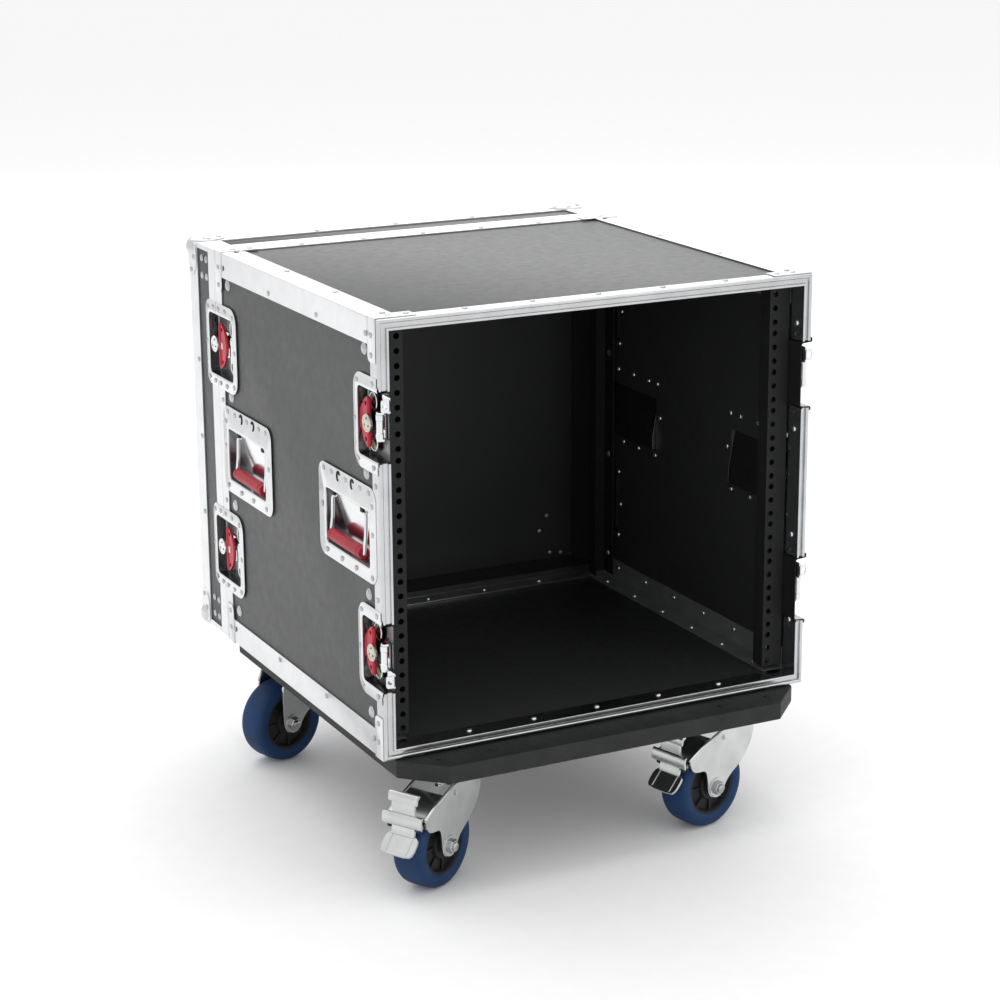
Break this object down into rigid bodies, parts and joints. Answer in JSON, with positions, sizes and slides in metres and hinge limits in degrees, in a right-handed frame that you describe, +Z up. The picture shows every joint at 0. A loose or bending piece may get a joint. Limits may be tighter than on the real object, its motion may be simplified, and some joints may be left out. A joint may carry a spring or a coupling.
{
  "type": "equipment rack case",
  "caption": "Rolling road rack case with laminated panels, aluminium edges, recessed handles and butterfly latches, rear lid fitted and front open, on swivel casters.",
  "frame": {"origin": "on the floor, under the middle of the whole object", "axes": "+Z up, +Y towards the rear lid, +X to the right seen from the open front"},
  "size_m": [0.5512, 0.6068, 0.64],
  "materials": {
    "laminate": "dark grey textured laminate over plywood",
    "aluminium": "satin extruded aluminium",
    "zinc": "bright zinc-plated steel",
    "chrome": "polished",
    "rail_steel": "dark grey powder coat",
    "red_paint": "red powder coat",
    "red_grip": "matt red moulded grip",
    "black_board": "black painted plywood",
    "blue_tyre": "blue elastic rubber"
  },
  "bodies": {
    "case": {"panel_top": "laminate", "panel_bottom": "laminate", "panel_left": "laminate", "panel_right": "laminate", "edge_angle_top_left": "aluminium", "edge_angle_top_right": "aluminium", "edge_angle_bottom_left": "aluminium", "edge_angle_bottom_right": "aluminium", "front_frame_top": "aluminium", "front_frame_bottom": "aluminium", "front_frame_left": "aluminium", "front_frame_right": "aluminium", "rear_frame": "aluminium", "latch_dish_front_left_upper": "zinc", "latch_dish_front_left_lower": "zinc", "latch_dish_front_right_upper": "zinc", "latch_dish_front_right_lower": "zinc", "rack_rail_front_left": "rail_steel", "handle_dish_front_left": "zinc", "rack_rail_front_right": "rail_steel", "handle_dish_front_right": "zinc", "rack_rail_rear_left": "rail_steel", "handle_dish_rear_left": "zinc", "rack_rail_rear_right": "rail_steel", "handle_dish_rear_right": "zinc", "caster_board": "black_board"},
    "lid": {"lid_valance": "aluminium", "lid_shell": "laminate", "lid_edging": "aluminium"},
    "bail_front_left": {"handle_bail_front_left": "red_grip"},
    "fork_front_left": {"caster_fork_front_left": "zinc"},
    "wheel_front_left": {"caster_wheel_front_left": "blue_tyre"},
    "wing_front_left_upper": {"latch_wing_front_left_upper": "red_paint"},
    "hook_front_left_upper": {"latch_hook_front_left_upper": "chrome"},
    "wing_front_left_lower": {"latch_wing_front_left_lower": "red_paint"},
    "hook_front_left_lower": {"latch_hook_front_left_lower": "chrome"},
    "bail_front_right": {"handle_bail_front_right": "red_grip"},
    "fork_front_right": {"caster_fork_front_right": "zinc"},
    "wheel_front_right": {"caster_wheel_front_right": "blue_tyre"},
    "wing_front_right_upper": {"latch_wing_front_right_upper": "red_paint"},
    "hook_front_right_upper": {"latch_hook_front_right_upper": "chrome"},
    "wing_front_right_lower": {"latch_wing_front_right_lower": "red_paint"},
    "hook_front_right_lower": {"latch_hook_front_right_lower": "chrome"},
    "bail_rear_left": {"handle_bail_rear_left": "red_grip"},
    "fork_rear_left": {"caster_fork_rear_left": "zinc"},
    "wheel_rear_left": {"caster_wheel_rear_left": "blue_tyre"},
    "wing_rear_left_upper": {"latch_wing_rear_left_upper": "red_paint"},
    "hook_rear_left_upper": {"latch_hook_rear_left_upper": "chrome"},
    "wing_rear_left_lower": {"latch_wing_rear_left_lower": "red_paint"},
    "hook_rear_left_lower": {"latch_hook_rear_left_lower": "chrome"},
    "bail_rear_right": {"handle_bail_rear_right": "red_grip"},
    "fork_rear_right": {"caster_fork_rear_right": "zinc"},
    "wheel_rear_right": {"caster_wheel_rear_right": "blue_tyre"},
    "wing_rear_right_upper": {"latch_wing_rear_right_upper": "red_paint"},
    "hook_rear_right_upper": {"latch_hook_rear_right_upper": "chrome"},
    "wing_rear_right_lower": {"latch_wing_rear_right_lower": "red_paint"},
    "hook_rear_right_lower": {"latch_hook_rear_right_lower": "chrome"},
    "pedal_front_left": {"caster_pedal_front_left": "zinc"},
    "pedal_front_right": {"caster_pedal_front_right": "zinc"}
  },
  "joints": [
    {"name": "lid_lift_off", "type": "slide", "parent": "case", "child": "lid", "axis": [0, 1, 0], "range_m": [0, 0.2]},
    {"name": "handle_front_left", "type": "hinge", "parent": "case", "child": "bail_front_left", "pos_m": [-0.2555, -0.1666, 0.4159], "axis": [0, 1, 0], "range_deg": [0, 90], "stiffness_Nm_per_rad": 0.2, "springref_deg": -28.65},
    {"name": "wing_turn_front_left_upper", "type": "hinge", "parent": "case", "child": "wing_front_left_upper", "pos_m": [-0.2583, -0.2366, 0.5201], "axis": [0, 0, 1], "range_deg": [0, 100]},
    {"name": "hook_travel_front_left_upper", "type": "slide", "parent": "case", "child": "hook_front_left_upper", "axis": [0, -1, 0], "range_m": [0, 0.006]},
    {"name": "wing_turn_front_left_lower", "type": "hinge", "parent": "case", "child": "wing_front_left_lower", "pos_m": [-0.2583, -0.2366, 0.2681], "axis": [0, 0, 1], "range_deg": [0, 100]},
    {"name": "hook_travel_front_left_lower", "type": "slide", "parent": "case", "child": "hook_front_left_lower", "axis": [0, -1, 0], "range_m": [0, 0.006]},
    {"name": "swivel_front_left", "type": "hinge", "parent": "case", "child": "fork_front_left", "pos_m": [-0.1713, -0.2321, 0.1226], "axis": [0, 0, 1], "continuous": true},
    {"name": "wheel_spin_front_left", "type": "hinge", "parent": "fork_front_left", "child": "wheel_front_left", "pos_m": [-0.20531, -0.25119, 0.05], "axis": [0.4894, -0.8721, 0], "continuous": true},
    {"name": "brake_pedal_left", "type": "hinge", "parent": "fork_front_left", "child": "pedal_front_left", "pos_m": [-0.24368, -0.27272, 0.086], "axis": [0.4894, -0.8721, 0], "range_deg": [0, 10]},
    {"name": "handle_front_right", "type": "hinge", "parent": "case", "child": "bail_front_right", "pos_m": [0.2649, -0.1666, 0.4159], "axis": [0, -1, 0], "range_deg": [0, 90], "stiffness_Nm_per_rad": 0.2, "springref_deg": -28.65},
    {"name": "wing_turn_front_right_upper", "type": "hinge", "parent": "case", "child": "wing_front_right_upper", "pos_m": [0.2677, -0.2366, 0.5201], "axis": [0, 0, -1], "range_deg": [0, 100]},
    {"name": "hook_travel_front_right_upper", "type": "slide", "parent": "case", "child": "hook_front_right_upper", "axis": [0, -1, 0], "range_m": [0, 0.006]},
    {"name": "wing_turn_front_right_lower", "type": "hinge", "parent": "case", "child": "wing_front_right_lower", "pos_m": [0.2677, -0.2366, 0.2681], "axis": [0, 0, -1], "range_deg": [0, 100]},
    {"name": "hook_travel_front_right_lower", "type": "slide", "parent": "case", "child": "hook_front_right_lower", "axis": [0, -1, 0], "range_m": [0, 0.006]},
    {"name": "swivel_front_right", "type": "hinge", "parent": "case", "child": "fork_front_right", "pos_m": [0.1807, -0.2321, 0.1226], "axis": [0, 0, 1], "continuous": true},
    {"name": "wheel_spin_front_right", "type": "hinge", "parent": "fork_front_right", "child": "wheel_front_right", "pos_m": [0.14306, -0.24233, 0.05], "axis": [0.2622, -0.965, 0], "continuous": true},
    {"name": "brake_pedal_right", "type": "hinge", "parent": "fork_front_right", "child": "pedal_front_right", "pos_m": [0.1006, -0.25386, 0.086], "axis": [0.2622, -0.965, 0], "range_deg": [0, 10]},
    {"name": "handle_rear_left", "type": "hinge", "parent": "case", "child": "bail_rear_left", "pos_m": [-0.2555, 0.1214, 0.4159], "axis": [0, 1, 0], "range_deg": [0, 90], "stiffness_Nm_per_rad": 0.2, "springref_deg": -28.65},
    {"name": "wing_turn_rear_left_upper", "type": "hinge", "parent": "case", "child": "wing_rear_left_upper", "pos_m": [-0.2583, 0.2274, 0.5201], "axis": [0, 0, -1], "range_deg": [0, 100]},
    {"name": "hook_travel_rear_left_upper", "type": "slide", "parent": "case", "child": "hook_rear_left_upper", "axis": [0, 1, 0], "range_m": [0, 0.006]},
    {"name": "wing_turn_rear_left_lower", "type": "hinge", "parent": "case", "child": "wing_rear_left_lower", "pos_m": [-0.2583, 0.2274, 0.2681], "axis": [0, 0, -1], "range_deg": [0, 100]},
    {"name": "hook_travel_rear_left_lower", "type": "slide", "parent": "case", "child": "hook_rear_left_lower", "axis": [0, 1, 0], "range_m": [0, 0.006]},
    {"name": "swivel_rear_left", "type": "hinge", "parent": "case", "child": "fork_rear_left", "pos_m": [-0.1713, 0.1869, 0.1226], "axis": [0, 0, 1], "continuous": true},
    {"name": "wheel_spin_rear_left", "type": "hinge", "parent": "fork_rear_left", "child": "wheel_rear_left", "pos_m": [-0.2086, 0.1755, 0.05], "axis": [0.2924, -0.9563, 0], "continuous": true},
    {"name": "handle_rear_right", "type": "hinge", "parent": "case", "child": "bail_rear_right", "pos_m": [0.2649, 0.1214, 0.4159], "axis": [0, -1, 0], "range_deg": [0, 90], "stiffness_Nm_per_rad": 0.2, "springref_deg": -28.65},
    {"name": "wing_turn_rear_right_upper", "type": "hinge", "parent": "case", "child": "wing_rear_right_upper", "pos_m": [0.2677, 0.2274, 0.5201], "axis": [0, 0, 1], "range_deg": [0, 100]},
    {"name": "hook_travel_rear_right_upper", "type": "slide", "parent": "case", "child": "hook_rear_right_upper", "axis": [0, 1, 0], "range_m": [0, 0.006]},
    {"name": "wing_turn_rear_right_lower", "type": "hinge", "parent": "case", "child": "wing_rear_right_lower", "pos_m": [0.2677, 0.2274, 0.2681], "axis": [0, 0, 1], "range_deg": [0, 100]},
    {"name": "hook_travel_rear_right_lower", "type": "slide", "parent": "case", "child": "hook_rear_right_lower", "axis": [0, 1, 0], "range_m": [0, 0.006]},
    {"name": "swivel_rear_right", "type": "hinge", "parent": "case", "child": "fork_rear_right", "pos_m": [0.1807, 0.1869, 0.1226], "axis": [0, 0, 1], "continuous": true},
    {"name": "wheel_spin_rear_right", "type": "hinge", "parent": "fork_rear_right", "child": "wheel_rear_right", "pos_m": [0.14405, 0.17356, 0.05], "axis": [0.342, -0.9397, 0], "continuous": true}
  ],
  "couplings": [
    {"joint": "hook_travel_front_left_upper", "follows": "wing_turn_front_left_upper", "m_per_rad": 0.0034},
    {"joint": "hook_travel_front_left_lower", "follows": "wing_turn_front_left_lower", "m_per_rad": 0.0034},
    {"joint": "hook_travel_front_right_upper", "follows": "wing_turn_front_right_upper", "m_per_rad": 0.0034},
    {"joint": "hook_travel_front_right_lower", "follows": "wing_turn_front_right_lower", "m_per_rad": 0.0034},
    {"joint": "hook_travel_rear_left_upper", "follows": "wing_turn_rear_left_upper", "m_per_rad": 0.0034},
    {"joint": "hook_travel_rear_left_lower", "follows": "wing_turn_rear_left_lower", "m_per_rad": 0.0034},
    {"joint": "hook_travel_rear_right_upper", "follows": "wing_turn_rear_right_upper", "m_per_rad": 0.0034},
    {"joint": "hook_travel_rear_right_lower", "follows": "wing_turn_rear_right_lower", "m_per_rad": 0.0034}
  ]
}
